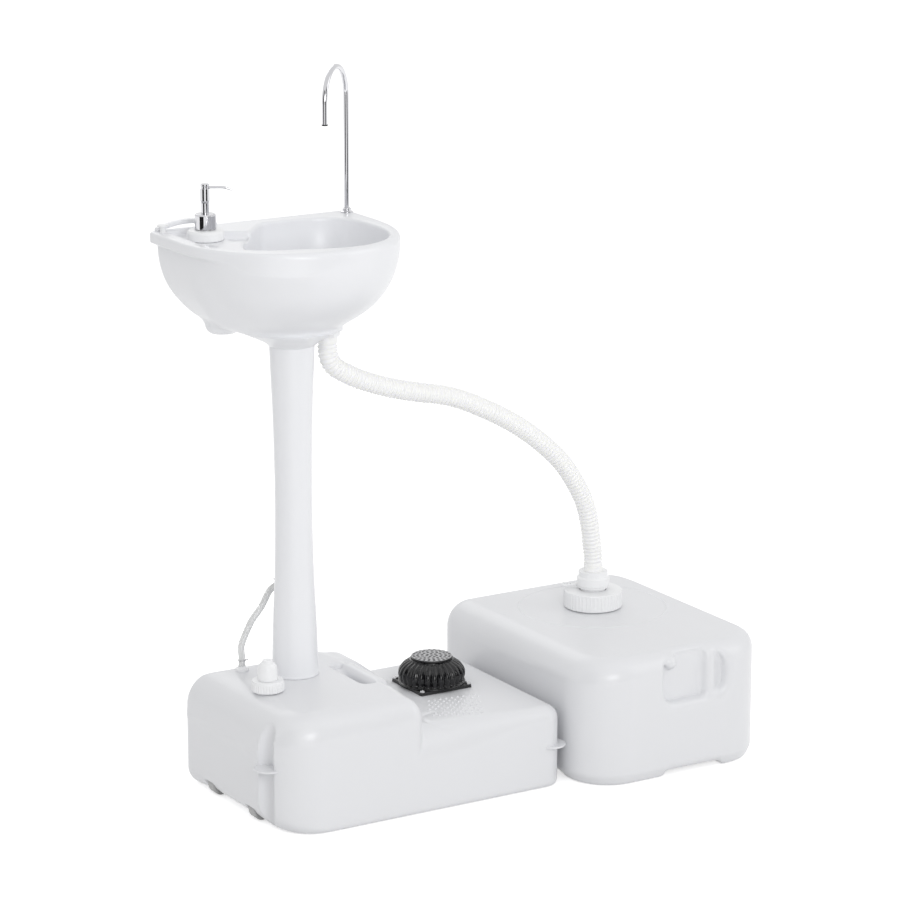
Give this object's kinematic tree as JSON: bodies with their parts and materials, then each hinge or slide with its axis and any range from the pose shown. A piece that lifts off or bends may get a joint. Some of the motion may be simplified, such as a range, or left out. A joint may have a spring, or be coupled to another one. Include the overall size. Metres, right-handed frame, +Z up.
{
  "type": "camp wash stand",
  "caption": "Portable camping wash stand: D-shaped basin with swivel spout and soap dispenser on a pedestal over a wheeled foot-pump water tank, draining by ribbed hose to a waste tank.",
  "frame": {"origin": "On the floor, under the middle of the pedestal.", "axes": "+Z up, -Y to the user at the front of the basin, +X to the user's right, towards the foot pump and the waste tank."},
  "size_m": [0.814, 0.422, 1.0245],
  "materials": {
    "white_plastic": "satin blow-moulded polyethylene",
    "milky_plastic": "milky translucent polyethylene",
    "clear_plastic": "clear flexible vinyl",
    "hose_plastic": "white ribbed hose",
    "black_rubber": "moulded bellows rubber",
    "dark_rubber": "flat seal rubber",
    "grey_rubber": "dimpled grey rubber",
    "black_plastic": "moulded black plastic",
    "plain_steel": "plain zinc-plated steel",
    "bright_chrome": "bright chrome plating"
  },
  "bodies": {
    "stand": {"fresh_tank": "white_plastic", "wheel_axles": "plain_steel", "outlet_fitting": "white_plastic", "outlet_nut": "white_plastic", "dip_tube": "clear_plastic", "dip_strainer": "white_plastic", "pump_gasket": "dark_rubber", "pump_plate": "black_plastic", "pump_screws": "plain_steel", "pump_valve": "dark_rubber", "pump_spring": "plain_steel", "pump_bellows": "black_rubber", "pedestal": "white_plastic", "pedestal_inlet": "white_plastic", "riser_hose": "clear_plastic", "supply_hose": "clear_plastic", "hose_clamps": "plain_steel", "basin": "white_plastic", "towel_rail": "white_plastic", "rim_peg": "white_plastic", "drain_gasket": "dark_rubber", "drain_tailpiece": "white_plastic", "drain_nut": "white_plastic", "drain_hose": "hose_plastic", "spout_base": "bright_chrome", "spout_nut": "plain_steel", "waste_tank": "white_plastic", "waste_gasket": "dark_rubber", "waste_adapter": "white_plastic", "hose_collar": "white_plastic", "cap_tether": "white_plastic"},
    "wheel_front": {"wheel_front": "white_plastic"},
    "wheel_rear": {"wheel_rear": "white_plastic"},
    "filler_seal": {"filler_gasket": "dark_rubber"},
    "filler_cap": {"filler_cap": "white_plastic", "vent_cap": "white_plastic"},
    "pump_tread": {"pump_tread": "grey_rubber"},
    "strainer": {"drain_strainer": "white_plastic"},
    "spout": {"spout_tube": "bright_chrome", "spout_aerator": "black_plastic"},
    "soap_bottle": {"soap_bottle": "milky_plastic", "soap_ring": "white_plastic", "soap_cap": "bright_chrome", "soap_chamber": "clear_plastic", "soap_spring": "plain_steel", "soap_dip_tube": "clear_plastic"},
    "soap_stem": {"soap_stem": "bright_chrome"},
    "soap_head": {"soap_head": "bright_chrome"},
    "ring_washer": {"waste_washer": "grey_rubber"},
    "screw_ring": {"waste_ring": "white_plastic"}
  },
  "joints": [
    {"name": "front_wheel_spin", "type": "hinge", "parent": "stand", "child": "wheel_front", "pos_m": [-0.1095, -0.0925, 0.0143], "axis": [0, 1, 0], "continuous": true},
    {"name": "rear_wheel_spin", "type": "hinge", "parent": "stand", "child": "wheel_rear", "pos_m": [-0.1095, 0.0295, 0.0143], "axis": [0, 1, 0], "continuous": true},
    {"name": "filler_lift", "type": "slide", "parent": "stand", "child": "filler_seal", "axis": [0, 0, 1], "range_m": [0, 0.0061]},
    {"name": "filler_turn", "type": "hinge", "parent": "filler_seal", "child": "filler_cap", "pos_m": [-0.073, -0.052, 0.172], "axis": [0, 0, 1], "range_deg": [0, 720]},
    {"name": "pump_press", "type": "slide", "parent": "stand", "child": "pump_tread", "axis": [0, 0, -1], "range_m": [0, 0.022], "stiffness_N_per_m": 600, "deforming": ["pump_bellows", "pump_spring"]},
    {"name": "strainer_lift", "type": "slide", "parent": "stand", "child": "strainer", "axis": [0, 0, 1], "range_m": [0, 0.05]},
    {"name": "spout_swivel", "type": "hinge", "parent": "stand", "child": "spout", "pos_m": [0.154, 0.113, 0.805], "axis": [0, 0, 1], "range_deg": [-120, 120]},
    {"name": "soap_lift", "type": "slide", "parent": "stand", "child": "soap_bottle", "axis": [0, 0, 1], "range_m": [0, 0.12]},
    {"name": "soap_press", "type": "slide", "parent": "soap_bottle", "child": "soap_stem", "axis": [0, 0, -1], "range_m": [0, 0.01], "stiffness_N_per_m": 300, "deforming": ["soap_spring"]},
    {"name": "soap_swivel", "type": "hinge", "parent": "soap_stem", "child": "soap_head", "pos_m": [-0.097, 0.068, 0.849], "axis": [0, 0, 1], "continuous": true},
    {"name": "ring_lift", "type": "slide", "parent": "stand", "child": "ring_washer", "axis": [0, 0, 1], "range_m": [0, 0.0031]},
    {"name": "ring_turn", "type": "hinge", "parent": "ring_washer", "child": "screw_ring", "pos_m": [0.515, 0.01, 0.2], "axis": [0, 0, 1], "range_deg": [0, 270]}
  ],
  "couplings": [
    {"joint": "filler_lift", "follows": "filler_turn", "m_per_rad": 0.00047746},
    {"joint": "ring_lift", "follows": "ring_turn", "m_per_rad": 0.00063662}
  ]
}
